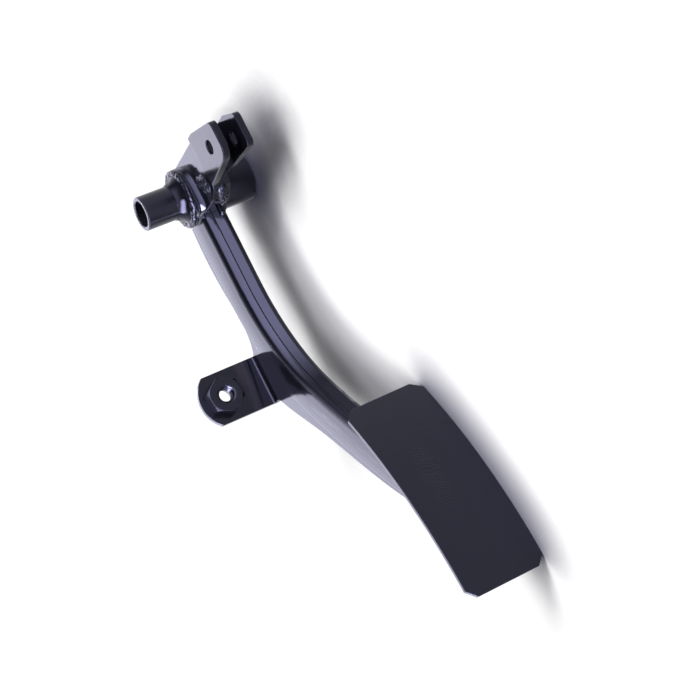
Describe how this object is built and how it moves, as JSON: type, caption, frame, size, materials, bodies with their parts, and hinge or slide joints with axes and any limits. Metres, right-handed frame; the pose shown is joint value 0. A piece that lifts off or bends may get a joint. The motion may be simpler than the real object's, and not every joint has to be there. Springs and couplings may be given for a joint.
{
  "type": "accelerator pedal",
  "caption": "Welded steel accelerator pedal with a bent box arm, a cross pivot tube, a clevis lever, a stop tab with a nut and a curved pad.",
  "frame": {"origin": "on the pivot bore's axis, at the mid plane of the arm", "axes": "+Z along the pivot bore, up, towards the long left end of the tube; the arm runs from the pivot towards -X, and -Y is the side of the foot"},
  "size_m": [0.2919, 0.1379, 0.08],
  "materials": {
    "paint": "black satin paint over pressed and cut steel",
    "weld_paint": "black satin paint over uneven weld beads",
    "nut_paint": "black satin paint on a weld nut"
  },
  "bodies": {
    "root": {"arm_left_shell": "paint", "arm_right_shell": "paint", "lever_core": "paint", "left_clevis_ear": "paint", "right_clevis_ear": "paint", "pivot_tube": "paint", "left_boss": "paint", "right_sleeve": "paint", "stop_nut": "nut_paint", "pad_plate": "paint", "boss_weld": "weld_paint", "sleeve_weld": "weld_paint", "left_ear_weld": "weld_paint", "right_ear_weld": "weld_paint", "pad_weld": "weld_paint"}
  },
  "joints": []
}
